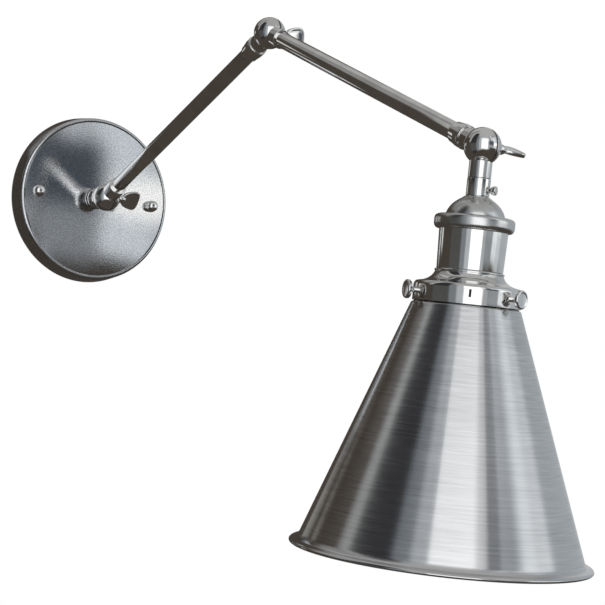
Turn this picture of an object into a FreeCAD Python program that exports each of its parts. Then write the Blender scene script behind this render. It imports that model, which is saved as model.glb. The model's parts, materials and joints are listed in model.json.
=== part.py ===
"""Swing-arm wall sconce with a cone shade, in millimetres.

The wall is the plane y = 0 and the lamp reaches out towards -Y.  +Z is up and +X is to the
right for a person who faces the wall.  The origin is the middle of the two wall-screw slots.
Three ball knuckles, hinged about X, join the canopy, two tube arms and the lamp head.
"""
import FreeCAD
import Part
import math
import os
from FreeCAD import Placement, Rotation, Vector

# ---- driving dimensions -------------------------------------------------------------------
# wall canopy, a shallow dish
CANOPY_R = 63.5
CANOPY_FACE_R = 60.8
CANOPY_DEPTH = 15.0
CANOPY_WALL = 1.2
CAP_NUT_X = 48.3
# cross-shaped wall bracket
WALL_SLOT_SPACING = 88.9
WALL_SLOT_LENGTH = 14.0
WALL_SLOT_R = 2.3
BRACKET_HALF = 54.0
BRACKET_WIDTH = 16.0
BRACKET_T = 1.6
STUD_R = 2.0
# arms: joint centre to joint centre, and their slopes at rest
WALL_JOINT_Y = -32.5
LOWER_ARM = 236.0
UPPER_ARM = 246.0
LOWER_RISE = 23.0
UPPER_DROP = 23.5
LAMP_TILT = 4.5
TUBE_R = 5.25
TUBE_WALL = 1.0
TUBE_SEAT = 12.5
# ball knuckles
BALL_R = 10.5
SPLIT_X = 1.4
WASHER_T = 1.0
WASHER_R = 10.0
GAP = 0.3
RUNNING = 0.05
NECK_R = 6.4
BOSS_R = 3.4
BOSS_X = 11.0
SCREW_R = 2.0
WIRE_BORE_R = 2.3
CHAMBER_IN = 3.8
CHAMBER_OUT = 7.2
CHAMBER_DEPTH = 4.0
COLLAR_START = 15.0
COLLAR_END = 26.5
COLLAR_R = 7.2
# thumb screws of the knuckles
PADDLE_X = 27.0
PADDLE_HALF = 9.0
PADDLE_T = 2.0
# wall swivel
SPIGOT_R = 5.0
# lamp head: distances along its axis from the head joint's centre
SEAM = 17.6
SLEEVE_END = 27.9
RING_TOP = 38.6
RING_BOTTOM = 46.7
SHELL_TOP = 41.7
SHELL_BOTTOM = 68.6
GALLERY_BOTTOM = 87.2
GALLERY_R = 29.8
GALLERY_WALL = 0.85
SHADE_NECK_R = 28.5
SHADE_TOP = 79.2
CONE_TOP = 88.4
CONE_TOP_R = 30.2
CONE_BOTTOM = 217.5
CONE_BOTTOM_R = 77.2
SHADE_WALL = 0.8
LIP_Z = 224.0
LIP_R = 82.3
LIP_BEAD = 1.3
LAMPHOLDER_R = 16.2
LAMP_THREAD_R = 13.3
THREAD_START = 61.0
MOUTH = 83.0
SHADE_SCREW_Z = 82.0
SHADE_SCREW_ANGLES = (15.0, 135.0, -105.0)
VENT_OFFSET = 50.6
NECK_SCREW_ANGLE = 30.0
NECK_SCREW_Z = 24.0

X_AXIS = Vector(1, 0, 0)
Z_AXIS = Vector(0, 0, 1)
ORIGIN = Vector(0, 0, 0)
BIG = 400.0


# ---- helpers ------------------------------------------------------------------------------
def rod(radius, start, end):
    """A solid cylinder from one point to another."""
    along = end.sub(start)
    return Part.makeCylinder(radius, along.Length, start, along)


def pipe(outer, inner, start, end):
    """A hollow cylinder from one point to another."""
    return rod(outer, start, end).cut(rod(inner, start, end))


def lathe(outline):
    """Turn a closed outline of (radius, z) points about Z.

    An item with four numbers is an arc: a point it passes through, then its end.
    """
    edges = []
    here = Vector(outline[0][0], 0, outline[0][1])
    for item in outline[1:] + [outline[0]]:
        there = Vector(item[-2], 0, item[-1])
        if len(item) == 4:
            middle = Vector(item[0], 0, item[1])
            edges.append(Part.Arc(here, middle, there).toShape())
        elif there.sub(here).Length > 1e-6:
            edges.append(Part.LineSegment(here, there).toShape())
        here = there
    face = Part.Face(Part.Wire(edges))
    return face.revolve(ORIGIN, Z_AXIS, 360)


def placed(shape, origin, turn):
    """The shape turned about X by an angle in degrees, then moved to a point."""
    copy = shape.copy()
    copy.Placement = Placement(origin, Rotation(X_AXIS, turn)).multiply(shape.Placement)
    return copy


def hexagon(across_flats, bore, z_low, z_high):
    """A hexagon nut about Z."""
    corner = across_flats / math.sqrt(3.0)
    points = []
    for k in range(7):
        angle = math.radians(60.0 * k)
        points.append(Vector(corner * math.cos(angle), corner * math.sin(angle), z_low))
    prism = Part.Face(Part.makePolygon(points)).extrude(Vector(0, 0, z_high - z_low))
    return prism.cut(rod(bore, Vector(0, 0, z_low), Vector(0, 0, z_high)))


def half_space(x_low, x_high):
    """A block that fills everything between two planes of constant x."""
    return Part.makeBox(x_high - x_low, BIG, BIG, Vector(x_low, -BIG / 2, -BIG / 2))


def write(name, *solids):
    """Export one node; several solids make one group."""
    shape = solids[0]
    if len(solids) > 1:
        shape = Part.makeCompound(list(solids))
    shape.exportStep("parts/%s.step" % name)


# ---- joint centres and directions ---------------------------------------------------------
rise = math.radians(LOWER_RISE)
drop = math.radians(UPPER_DROP)
LOWER_DIR = Vector(0, -math.cos(rise), math.sin(rise))
UPPER_DIR = Vector(0, -math.cos(drop), -math.sin(drop))
WALL_JOINT = Vector(0, WALL_JOINT_Y, 0)
ELBOW = WALL_JOINT + LOWER_DIR * LOWER_ARM
HEAD_JOINT = ELBOW + UPPER_DIR * UPPER_ARM

# turns about X that carry a piece's own +Z to each direction
TURN_OUT = 90.0
TURN_IN = -90.0
TURN_LOWER = 90.0 - LOWER_RISE
TURN_UPPER = 90.0 + UPPER_DROP
TURN_LAMP = 180.0 + LAMP_TILT


# ---- canopy and what holds it -------------------------------------------------------------
def canopy():
    """A spun dish: rim on the wall, rounded edge, flat face with three holes."""
    inner = CANOPY_DEPTH - CANOPY_WALL
    dish = lathe([
        (CANOPY_R, 0.0),
        (CANOPY_FACE_R + 1.2, CANOPY_DEPTH - 1.5),
        (CANOPY_FACE_R + 0.75, CANOPY_DEPTH - 0.4, CANOPY_FACE_R - 0.3, CANOPY_DEPTH),
        (SPIGOT_R + RUNNING, CANOPY_DEPTH),
        (SPIGOT_R + RUNNING, inner),
        (CANOPY_FACE_R - 0.6, inner),
        (CANOPY_R - CANOPY_WALL, 0.0)])
    for side in (-1, 1):
        foot = Vector(side * CAP_NUT_X, 0, 0)
        dish = dish.cut(rod(STUD_R + 0.2, foot, foot + Vector(0, 0, BIG)))
    return placed(dish, ORIGIN, TURN_OUT)


def bracket():
    """Cross-shaped strap: wall slots up and down, threaded stud holes left and right."""
    across = Part.makeBox(2 * BRACKET_HALF, BRACKET_WIDTH, BRACKET_T,
                          Vector(-BRACKET_HALF, -BRACKET_WIDTH / 2, 0))
    upright = across.copy()
    upright.rotate(ORIGIN, Z_AXIS, 90)
    strap = across.fuse(upright).removeSplitter()
    through = Vector(0, 0, BRACKET_T)
    strap = strap.cut(rod(8.0, ORIGIN, through))
    half_slot = WALL_SLOT_LENGTH / 2 - WALL_SLOT_R
    for side in (-1, 1):
        strap = strap.cut(rod(STUD_R, Vector(side * CAP_NUT_X, 0, 0),
                              Vector(side * CAP_NUT_X, 0, BRACKET_T)))
        middle = side * WALL_SLOT_SPACING / 2
        slot = Part.makeBox(2 * WALL_SLOT_R, 2 * half_slot, BRACKET_T,
                            Vector(-WALL_SLOT_R, middle - half_slot, 0))
        for end in (-half_slot, half_slot):
            centre = Vector(0, middle + end, 0)
            slot = slot.fuse(rod(WALL_SLOT_R, centre, centre + through))
        strap = strap.cut(slot)
    strap = strap.cut(rod(1.7, Vector(20, 0, 0), Vector(20, 0, BRACKET_T)))
    return placed(strap, ORIGIN, TURN_OUT)


def canopy_studs():
    """Two threaded studs from the bracket through the canopy's face."""
    studs = []
    for side in (-1, 1):
        foot = Vector(side * CAP_NUT_X, 0, 0)
        stud = rod(STUD_R, foot, foot + Vector(0, 0, CANOPY_DEPTH + 2.5))
        studs.append(placed(stud, ORIGIN, TURN_OUT))
    return studs


def cap_nuts():
    """Two ball-headed nuts on the canopy's face."""
    base = CANOPY_DEPTH
    ball_r = 3.9
    ball_z = base + 1.3
    slant = ball_r * math.sqrt(0.5)
    nut = lathe([
        (STUD_R, base), (ball_r - 0.4, base), (ball_r, base + 0.5), (ball_r, ball_z),
        (slant, ball_z + slant, 0.0, ball_z + ball_r), (0.0, base + 2.6), (STUD_R, base + 2.6)])
    nuts = []
    for side in (-1, 1):
        moved = nut.copy()
        moved.translate(Vector(side * CAP_NUT_X, 0, 0))
        nuts.append(placed(moved, ORIGIN, TURN_OUT))
    return nuts


def ground_screw():
    """Hexagon-headed earth screw on the bracket."""
    head = hexagon(7.0, 0.5, BRACKET_T, BRACKET_T + 2.4)
    head = head.fuse(rod(0.5, Vector(0, 0, BRACKET_T), Vector(0, 0, BRACKET_T + 2.4)))
    screw = head.fuse(rod(1.7, ORIGIN, Vector(0, 0, BRACKET_T + 0.5))).removeSplitter()
    screw.translate(Vector(20, 0, 0))
    return placed(screw, ORIGIN, TURN_OUT)


def swivel_washer():
    """Fibre washer between the canopy's face and the swivelling knuckle."""
    ring = pipe(8.0, SPIGOT_R + 0.4, Vector(0, 0, CANOPY_DEPTH), Vector(0, 0, CANOPY_DEPTH + 0.8))
    return placed(ring, ORIGIN, TURN_OUT)


def stop_pin():
    """Pin under the canopy's face that the tabbed washer runs against."""
    inner = CANOPY_DEPTH - CANOPY_WALL
    pin = rod(1.2, Vector(0, -9.9, inner - 3.2), Vector(0, -9.9, inner))
    return placed(pin, ORIGIN, TURN_OUT)


def stop_washer():
    """Tabbed washer that turns with the spigot and limits its swivel."""
    top = CANOPY_DEPTH - CANOPY_WALL - GAP
    ring = pipe(7.9, SPIGOT_R, Vector(0, 0, top - 1.0), Vector(0, 0, top))
    tab = Part.makeBox(3.0, 4.5, 1.0, Vector(-1.5, 7.0, top - 1.0))
    return placed(ring.fuse(tab).removeSplitter(), ORIGIN, TURN_OUT)


def spigot_nut():
    """Hexagon nut that holds the spigot in the canopy."""
    top = CANOPY_DEPTH - CANOPY_WALL - GAP - 1.0
    return placed(hexagon(14.0, SPIGOT_R, top - 3.2, top), ORIGIN, TURN_OUT)


# ---- ball knuckles ------------------------------------------------------------------------
def knuckle_half(neck, near, wire_end):
    """One half of a ball knuckle: hinge along X at the origin, round neck along +Z.

    The near half holds the thread, the far half holds the boss under the thumb screw.  The
    neck is a full round, so past the split it clears the other half's ball.
    """
    far_face = SPLIT_X + WASHER_T + GAP
    if near:
        mine = half_space(-BIG / 4, SPLIT_X)
        other = half_space(SPLIT_X, BIG / 4)
    else:
        mine = half_space(far_face, BIG / 4)
        other = half_space(-BIG / 4, far_face)
    ball = Part.makeSphere(BALL_R, ORIGIN, X_AXIS)
    clearance = Part.makeSphere(BALL_R + GAP, ORIGIN, X_AXIS).common(other)
    body = ball.common(mine).fuse(neck.cut(clearance))
    if near:
        deep = SPLIT_X - CHAMBER_DEPTH
        chamber = pipe(CHAMBER_OUT, CHAMBER_IN, X_AXIS * deep, X_AXIS * SPLIT_X)
        hole = rod(SCREW_R + RUNNING, X_AXIS * -7.0, X_AXIS * SPLIT_X)
        wire_way = rod(WIRE_BORE_R, Z_AXIS * 5.5, Z_AXIS * wire_end)
    else:
        body = body.fuse(rod(BOSS_R, X_AXIS * (far_face + 3), X_AXIS * BOSS_X))
        chamber = pipe(CHAMBER_OUT, CHAMBER_IN, X_AXIS * far_face,
                       X_AXIS * (far_face + CHAMBER_DEPTH))
        hole = rod(SCREW_R + RUNNING, ORIGIN, X_AXIS * (BOSS_X + 1))
        wire_way = rod(WIRE_BORE_R - 0.3, Vector(4.8, 0, 5.5), Vector(1.2, 0, wire_end))
    body = body.cut(chamber).cut(hole).cut(wire_way)
    return body.removeSplitter()


def arm_knuckle(near, neck_r, neck_end):
    """A knuckle half whose neck is a socket for an arm tube."""
    neck = lathe([
        (0.0, 0.0), (neck_r, 0.0), (neck_r, neck_end - 0.4), (neck_r - 0.4, neck_end),
        (TUBE_R, neck_end), (TUBE_R, TUBE_SEAT), (0.0, TUBE_SEAT)])
    return knuckle_half(neck, near, TUBE_SEAT)


def wall_knuckle_base():
    """Near half on a hollow spigot that turns in the canopy."""
    to_face = -WALL_JOINT_Y - CANOPY_DEPTH
    shoulder = to_face - 0.8 - GAP
    neck = lathe([
        (0.0, 0.0), (NECK_R, 0.0), (NECK_R, 12.0), (NECK_R + 0.3, 14.2, 8.0, 15.2),
        (8.0, shoulder), (SPIGOT_R, shoulder), (SPIGOT_R, to_face + 8.5), (0.0, to_face + 8.5)])
    return placed(knuckle_half(neck, True, to_face + 8.5), WALL_JOINT, TURN_IN)


def head_knuckle_neck():
    """Near half whose neck runs down into the lamp's sleeve as a hollow spigot."""
    spigot_end = SEAM + 7.8
    neck = lathe([
        (0.0, 0.0), (NECK_R, 0.0), (NECK_R, SEAM), (4.5, SEAM), (4.5, spigot_end),
        (0.0, spigot_end)])
    return placed(knuckle_half(neck, True, spigot_end), HEAD_JOINT, TURN_LAMP)


def friction_washer(centre):
    """Fibre ring between the two halves of a knuckle."""
    ring = pipe(WASHER_R, CHAMBER_OUT + 0.4, X_AXIS * SPLIT_X, X_AXIS * (SPLIT_X + WASHER_T))
    return placed(ring, centre, 0)


def thumb_screw(centre, turn):
    """Clamp screw with a fan-shaped paddle; the paddle stands at an angle about X."""
    hub_start = BOSS_X + GAP
    shank = rod(SCREW_R, X_AXIS * -6.5, X_AXIS * (hub_start + 1))
    hub = rod(3.0, X_AXIS * hub_start, X_AXIS * (hub_start + 3.2))
    low = -PADDLE_T / 2
    root = Vector(hub_start + 1.6, low, 2.2)
    shoulder = Vector(hub_start + 4.2, low, 3.9)
    tip = Vector(PADDLE_X - 2.4, low, PADDLE_HALF)
    corner = Vector(PADDLE_X - 1.7, low, PADDLE_HALF - 1.0)

    def across(point):
        return Vector(point.x, point.y, -point.z)

    upper = Part.Arc(shoulder, Vector(hub_start + 8.0, low, 7.8), tip).toShape()
    lower = Part.Arc(across(tip), Vector(hub_start + 8.0, low, -7.8), across(shoulder)).toShape()
    edge = Part.Arc(corner, Vector(PADDLE_X, low, 0), across(corner)).toShape()
    outline = Part.Wire([
        Part.LineSegment(root, shoulder).toShape(), upper,
        Part.LineSegment(tip, corner).toShape(), edge,
        Part.LineSegment(across(corner), across(tip)).toShape(), lower,
        Part.LineSegment(across(shoulder), across(root)).toShape(),
        Part.LineSegment(across(root), root).toShape()])
    paddle = Part.Face(outline).extrude(Vector(0, PADDLE_T, 0))
    screw = shank.fuse(hub).fuse(paddle).removeSplitter()
    return placed(screw, centre, turn)


# ---- arms ---------------------------------------------------------------------------------
def arm_tube(start, along, length):
    """Tube between the seats of two knuckles."""
    return pipe(TUBE_R, TUBE_R - TUBE_WALL, start + along * TUBE_SEAT,
                start + along * (length - TUBE_SEAT))


def arm_wires(start, along, length):
    """Two insulated conductors inside an arm tube."""
    wires = []
    for side in (-1.3, 1.3):
        shift = Vector(side, 0, 0)
        wires.append(rod(0.9, start + along * (TUBE_SEAT + 1) + shift,
                         start + along * (length - TUBE_SEAT - 1) + shift))
    return wires


def arm_collar(centre, turn):
    """Tapered lock collar round the lamp end of an arm tube."""
    collar = lathe([
        (TUBE_R, COLLAR_START), (COLLAR_R - 0.5, COLLAR_START),
        (COLLAR_R, COLLAR_START + 0.6), (COLLAR_R, COLLAR_START + 5.0),
        (TUBE_R + 0.9, COLLAR_END - 0.5), (TUBE_R + 0.5, COLLAR_END), (TUBE_R, COLLAR_END)])
    return placed(collar, centre, turn)


# ---- lamp head, each piece turned about the lamp's axis -----------------------------------
def on_lamp(shape):
    """Carry a piece from the lamp's own axes (Z down the shade) to the object's."""
    return placed(shape, HEAD_JOINT, TURN_LAMP)


def radial(angle, radius, z):
    """A point at an angle about the lamp's axis, counted from the side away from the wall."""
    turn = math.radians(angle)
    return Vector(radius * math.sin(turn), radius * math.cos(turn), z)


def swivel_sleeve():
    """Sleeve that turns on the neck's spigot and carries the lamp."""
    sleeve = lathe([
        (4.5 + RUNNING, SEAM + GAP), (NECK_R + 0.1, SEAM + GAP), (NECK_R + 0.1, SLEEVE_END),
        (4.0, SLEEVE_END), (4.0, SEAM + 8.0), (4.5 + RUNNING, SEAM + 8.0)])
    hole = rod(1.5 + RUNNING, radial(NECK_SCREW_ANGLE, 3.0, NECK_SCREW_Z),
               radial(NECK_SCREW_ANGLE, 9.0, NECK_SCREW_Z))
    return on_lamp(sleeve.cut(hole))


def neck_screw():
    """Small round-headed screw that locks the lamp's swivel."""
    def at(radius):
        return radial(NECK_SCREW_ANGLE, radius, NECK_SCREW_Z)
    screw = rod(1.5, at(4.8), at(8.0)).fuse(rod(2.5, at(7.6), at(11.0)))
    return on_lamp(screw.removeSplitter())


def cap_nipple():
    """Hollow threaded nipple from the sleeve through the socket's cap."""
    return on_lamp(pipe(4.0, 2.8, Vector(0, 0, SEAM + 8.0), Vector(0, 0, 34.5)))


def cap_nut():
    """Hexagon nut under the socket's cap."""
    return on_lamp(hexagon(11.0, 4.0, SLEEVE_END + 1.4, SLEEVE_END + 4.2))


def socket_cap():
    """Domed cap of the lampholder, with a flange held by the clamp ring."""
    top = SLEEVE_END
    cap = lathe([
        (4.0, top), (7.0, top), (7.4, top + 0.4),
        (12.9, 32.3, 16.5, RING_TOP), (16.5, RING_TOP + 1.9), (19.2, RING_TOP + 1.9),
        (19.2, SHELL_TOP), (15.3, SHELL_TOP), (15.3, RING_TOP + 0.4),
        (12.0, 33.2, 7.2, top + 1.4), (4.0, top + 1.4)])
    return on_lamp(cap)


def clamp_ring():
    """Thick rounded ring that clamps the cap to the socket shell."""
    ring = lathe([
        (16.9, RING_TOP), (19.6, RING_TOP), (21.5, RING_TOP + 0.8, 22.2, RING_TOP + 2.6),
        (22.2, RING_BOTTOM - 2.1), (21.6, RING_BOTTOM - 0.7, 20.2, RING_BOTTOM),
        (19.3, RING_BOTTOM), (19.3, RING_TOP + 1.8), (16.9, RING_TOP + 1.8)])
    return on_lamp(ring)


def socket_shell():
    """Slightly tapered outer shell of the lampholder."""
    shell = lathe([
        (19.2, SHELL_TOP), (18.3, SHELL_BOTTOM), (17.3, SHELL_BOTTOM), (18.2, SHELL_TOP)])
    return on_lamp(shell)


def lampholder():
    """Porcelain body with a well for the screw shell and two terminal holes."""
    body = lathe([
        (0.0, 46.5), (14.2, 46.5), (15.7, 48.0), (15.7, 54.0), (LAMPHOLDER_R, 55.0),
        (LAMPHOLDER_R, MOUTH), (15.6, MOUTH + 0.8), (14.0, MOUTH + 0.8),
        (14.0, 58.0), (0.0, 58.0)])
    body = body.cut(rod(2.4, Z_AXIS * 54.0, Z_AXIS * 58.0))
    for side in (-9.0, 9.0):
        body = body.cut(rod(1.6, Vector(side, 0, 46.5), Vector(side, 0, 53.0)))
    return on_lamp(body)


def screw_shell():
    """Brass screw shell that the lamp's base turns into; its foot tapers to the floor."""
    shell = lathe([
        (LAMP_THREAD_R, THREAD_START), (11.3, 58.6), (4.2, 58.6), (4.2, 58.0), (14.0, 58.0),
        (14.0, MOUTH), (LAMP_THREAD_R, MOUTH)])
    return on_lamp(shell)


def centre_contact():
    """Brass contact stud at the bottom of the well."""
    stud = rod(2.4, Z_AXIS * 54.0, Z_AXIS * 59.4)
    return on_lamp(stud.fuse(rod(3.4, Z_AXIS * 59.4, Z_AXIS * 60.4)).removeSplitter())


def terminal_screws():
    """Two brass wire screws on top of the porcelain body."""
    screws = []
    for side in (-9.0, 9.0):
        shank = rod(1.6, Vector(side, 0, 46.5), Vector(side, 0, 53.0))
        head = rod(3.0, Vector(side, 0, 44.5), Vector(side, 0, 46.5))
        screws.append(on_lamp(shank.fuse(head).removeSplitter()))
    return screws


def lamp_leads():
    """Two insulated conductors from the nipple to above the terminals."""
    return [on_lamp(rod(0.9, Vector(side, 0, 27.0), Vector(side, 0, 43.5)))
            for side in (-1.3, 1.3)]


def gallery_nut():
    """Threaded ring on the porcelain body that holds the gallery up."""
    ring = lathe([
        (LAMPHOLDER_R, 69.7), (17.4, 69.7), (18.6, 73.4), (18.6, 76.8), (LAMPHOLDER_R, 76.8)])
    return on_lamp(ring)


def gallery():
    """Flared shade holder with a straight band, three screw holes and three vents."""
    inner = GALLERY_R - GALLERY_WALL
    top = SHELL_BOTTOM
    skirt = lathe([
        (17.0, top), (18.8, top), (19.4, top + 0.8, 18.8, top + 1.6),
        (21.2, top + 5.0, 26.2, top + 7.2), (28.3, top + 7.6),
        (29.4, top + 8.1, GALLERY_R, top + 9.3),
        (GALLERY_R, GALLERY_BOTTOM), (inner, GALLERY_BOTTOM), (inner, top + 9.4),
        (28.6, top + 8.7, 27.9, top + 8.5), (26.0, top + 8.1),
        (20.3, top + 5.7, 17.8, top + 1.1), (17.0, top + 1.1)])
    for angle in SHADE_SCREW_ANGLES:
        skirt = skirt.cut(rod(1.6 + RUNNING, radial(angle, 25.0, SHADE_SCREW_Z),
                              radial(angle, 33.0, SHADE_SCREW_Z)))
        vent = Part.makeBox(1.2, 6.0, 5.0, Vector(-0.6, 26.5, 79.0))
        vent.rotate(ORIGIN, Z_AXIS, VENT_OFFSET - angle)
        skirt = skirt.cut(vent)
    return on_lamp(skirt)


def shade():
    """Spun cone with a straight neck, a flared lip and a rolled edge."""
    slope = (CONE_BOTTOM_R - CONE_TOP_R) / (CONE_BOTTOM - CONE_TOP)
    inside = SHADE_WALL * math.sqrt(1 + slope ** 2)
    skin = lathe([
        (SHADE_NECK_R, SHADE_TOP), (SHADE_NECK_R, CONE_TOP - 1.0), (CONE_TOP_R, CONE_TOP),
        (CONE_BOTTOM_R, CONE_BOTTOM),
        (CONE_BOTTOM_R + 1.9, LIP_Z - 3.2, LIP_R, LIP_Z - 1.0),
        (LIP_R, LIP_Z - 0.1), (CONE_BOTTOM_R + 1.1, LIP_Z - 2.5, CONE_BOTTOM_R - inside,
                               CONE_BOTTOM),
        (CONE_TOP_R - inside, CONE_TOP), (SHADE_NECK_R - SHADE_WALL, CONE_TOP - 1.0),
        (SHADE_NECK_R - SHADE_WALL, SHADE_TOP)])
    bead = Part.makeTorus(LIP_R, LIP_BEAD, Vector(0, 0, LIP_Z), Z_AXIS)
    return on_lamp(skin.fuse(bead).removeSplitter())


def shade_screw(angle):
    """Disc-headed thumb screw that grips the shade's neck."""
    def at(radius):
        return radial(angle, radius, SHADE_SCREW_Z)
    screw = rod(1.6, at(SHADE_NECK_R + GAP), at(34.2))
    screw = screw.fuse(rod(2.5, at(33.2), at(34.2))).fuse(rod(5.2, at(34.2), at(36.8)))
    return on_lamp(screw.removeSplitter())


# ---- write every node ---------------------------------------------------------------------
def main():
    """Build and export the whole sconce."""
    os.makedirs("parts", exist_ok=True)
    write("mounting_bracket", bracket())
    write("canopy", canopy())
    write("canopy_studs", *canopy_studs())
    write("canopy_cap_nuts", *cap_nuts())
    write("ground_screw", ground_screw())
    write("swivel_washer", swivel_washer())
    write("swivel_stop_pin", stop_pin())
    write("swivel_stop_washer", stop_washer())
    write("swivel_lock_nut", spigot_nut())
    write("wall_knuckle_base", wall_knuckle_base())
    write("wall_knuckle_arm", placed(arm_knuckle(False, 6.9, 18.5), WALL_JOINT, TURN_LOWER))
    write("lower_arm_tube", arm_tube(WALL_JOINT, LOWER_DIR, LOWER_ARM))
    write("lower_arm_wires", *arm_wires(WALL_JOINT, LOWER_DIR, LOWER_ARM))
    write("lower_arm_collar", arm_collar(ELBOW, TURN_LOWER + 180.0))
    write("elbow_knuckle_lower",
          placed(arm_knuckle(True, NECK_R, COLLAR_START), ELBOW, TURN_LOWER + 180.0))
    write("elbow_knuckle_upper", placed(arm_knuckle(False, NECK_R, 16.5), ELBOW, TURN_UPPER))
    write("upper_arm_tube", arm_tube(ELBOW, UPPER_DIR, UPPER_ARM))
    write("upper_arm_wires", *arm_wires(ELBOW, UPPER_DIR, UPPER_ARM))
    write("upper_arm_collar", arm_collar(HEAD_JOINT, TURN_UPPER + 180.0))
    write("head_knuckle_arm",
          placed(arm_knuckle(False, NECK_R, COLLAR_START), HEAD_JOINT, TURN_UPPER + 180.0))
    write("head_knuckle_neck", head_knuckle_neck())
    for name, centre, turn in (("wall", WALL_JOINT, 35.0), ("elbow", ELBOW, 0.0),
                               ("head", HEAD_JOINT, 112.0)):
        write(name + "_friction_washer", friction_washer(centre))
        write(name + "_thumb_screw", thumb_screw(centre, turn))
    write("swivel_sleeve", swivel_sleeve())
    write("neck_screw", neck_screw())
    write("cap_nipple", cap_nipple())
    write("cap_lock_nut", cap_nut())
    write("socket_cap", socket_cap())
    write("socket_clamp_ring", clamp_ring())
    write("socket_shell", socket_shell())
    write("lampholder_body", lampholder())
    write("screw_shell", screw_shell())
    write("centre_contact", centre_contact())
    write("terminal_screws", *terminal_screws())
    write("lamp_leads", *lamp_leads())
    write("gallery_nut", gallery_nut())
    write("shade_gallery", gallery())
    write("shade", shade())
    for number, angle in enumerate(SHADE_SCREW_ANGLES, start=1):
        write("shade_screw_%d" % number, shade_screw(angle))


main()
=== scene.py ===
# %% [markdown]
# # A swing-arm wall sconce, from wall plate to shade
# The lamp is a short chain of turned nickel-plated pieces: a round plate on the wall, three ball
# knuckles, two straight tubes, a socket and a spun cone shade.  This lesson loads the finished
# engineering model as a fixed frame and puts a finely turned, plated piece over each visible part.

import json
import math

import bmesh
import bpy
from mathutils import Matrix, Vector


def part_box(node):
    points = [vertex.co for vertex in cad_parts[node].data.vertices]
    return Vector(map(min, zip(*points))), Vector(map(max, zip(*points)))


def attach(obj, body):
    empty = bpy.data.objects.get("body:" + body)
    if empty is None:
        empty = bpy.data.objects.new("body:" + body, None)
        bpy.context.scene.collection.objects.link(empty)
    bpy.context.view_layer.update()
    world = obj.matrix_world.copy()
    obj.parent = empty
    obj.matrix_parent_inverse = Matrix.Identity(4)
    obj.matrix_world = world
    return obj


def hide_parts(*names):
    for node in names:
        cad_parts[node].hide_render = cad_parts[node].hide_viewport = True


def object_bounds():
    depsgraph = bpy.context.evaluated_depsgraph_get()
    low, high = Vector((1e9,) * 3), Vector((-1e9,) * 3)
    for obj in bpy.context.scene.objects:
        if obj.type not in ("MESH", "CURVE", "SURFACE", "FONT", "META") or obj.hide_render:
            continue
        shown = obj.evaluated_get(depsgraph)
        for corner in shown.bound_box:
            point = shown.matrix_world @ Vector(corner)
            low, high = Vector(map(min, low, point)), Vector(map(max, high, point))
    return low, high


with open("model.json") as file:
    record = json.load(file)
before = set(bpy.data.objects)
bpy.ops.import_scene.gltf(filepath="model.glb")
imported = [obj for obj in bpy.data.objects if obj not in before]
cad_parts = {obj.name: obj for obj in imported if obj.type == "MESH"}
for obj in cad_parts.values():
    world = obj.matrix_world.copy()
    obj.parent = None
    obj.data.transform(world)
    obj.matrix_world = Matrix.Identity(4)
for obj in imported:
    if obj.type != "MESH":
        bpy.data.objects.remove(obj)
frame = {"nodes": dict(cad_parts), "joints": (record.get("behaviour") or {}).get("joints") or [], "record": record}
CAD_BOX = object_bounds()

# %% [markdown]
# ## Where the joints are
# Every piece hangs from one of three ball joints.  Their centres and the lamp's swivel axis come
# from the frame's joints, so nothing here has to be fitted by eye, and the directions of the two
# tubes follow from the centres.

# %% Joint centres and directions
JOINTS = {joint["name"]: joint for joint in frame["joints"]}
WALL_JOINT = Vector(JOINTS["wall_tilt"]["pos_m"])
ELBOW = Vector(JOINTS["elbow_fold"]["pos_m"])
HEAD_JOINT = Vector(JOINTS["head_tilt"]["pos_m"])
LAMP_DOWN = Vector(JOINTS["head_turn"]["axis"]).normalized()
LOWER_DIR = (ELBOW - WALL_JOINT).normalized()
UPPER_DIR = (HEAD_JOINT - ELBOW).normalized()
OUT_OF_WALL = Vector((0.0, -1.0, 0.0))
MM = 0.001
print("arms:", round((ELBOW - WALL_JOINT).length, 4), round((HEAD_JOINT - ELBOW).length, 4))


# %% [markdown]
# ## The camera
# The camera stands to the lamp's left and a little below the upper joint, with a long lens and
# a roll of a few degrees.  The lens is given by its focal length in frame widths, and nothing is
# shifted, so the same camera also serves the other views.

# %% Camera
FOCAL_WIDTHS = 2.8781
SENSOR_MM = 36.0
STANDS_AT = (-0.60206, -1.20787, -0.16497)
AZIMUTH, ELEVATION, ROLL = (math.radians(a) for a in (-33.776, -4.098, 3.448))

eye = bpy.data.cameras.new("studio_camera")
eye.sensor_width = SENSOR_MM
eye.lens = FOCAL_WIDTHS * SENSOR_MM
camera = bpy.data.objects.new("studio_camera", eye)
back = Vector((math.sin(AZIMUTH) * math.cos(ELEVATION), -math.cos(AZIMUTH) * math.cos(ELEVATION),
               math.sin(ELEVATION)))
level = Vector((0, 0, 1)).cross(back).normalized()
upright = back.cross(level)
right = math.cos(ROLL) * level + math.sin(ROLL) * upright
up = math.cos(ROLL) * upright - math.sin(ROLL) * level
facing = Matrix((right, up, back)).transposed().to_4x4()
camera.matrix_world = Matrix.Translation(STANDS_AT) @ facing
bpy.context.scene.collection.objects.link(camera)
bpy.context.scene.camera = camera
bpy.context.scene.view_settings.view_transform = "Standard"
print("lens:", round(eye.lens, 1), "mm")


# %% [markdown]
# ## Turned pieces
# Nearly every part of a lamp like this comes off a lathe, so one helper does what the lathe does:
# it takes half of the section as a chain of corners, rounds the corners that ask for it with a
# vertex bevel, and spins the chain round.  A corner is (radius, height, rounding) in millimetres.
# An outline that starts and ends on the axis makes a solid; a closed one makes a ring or a shell.

# %% Lathe helpers
WELD = 1e-6


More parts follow.
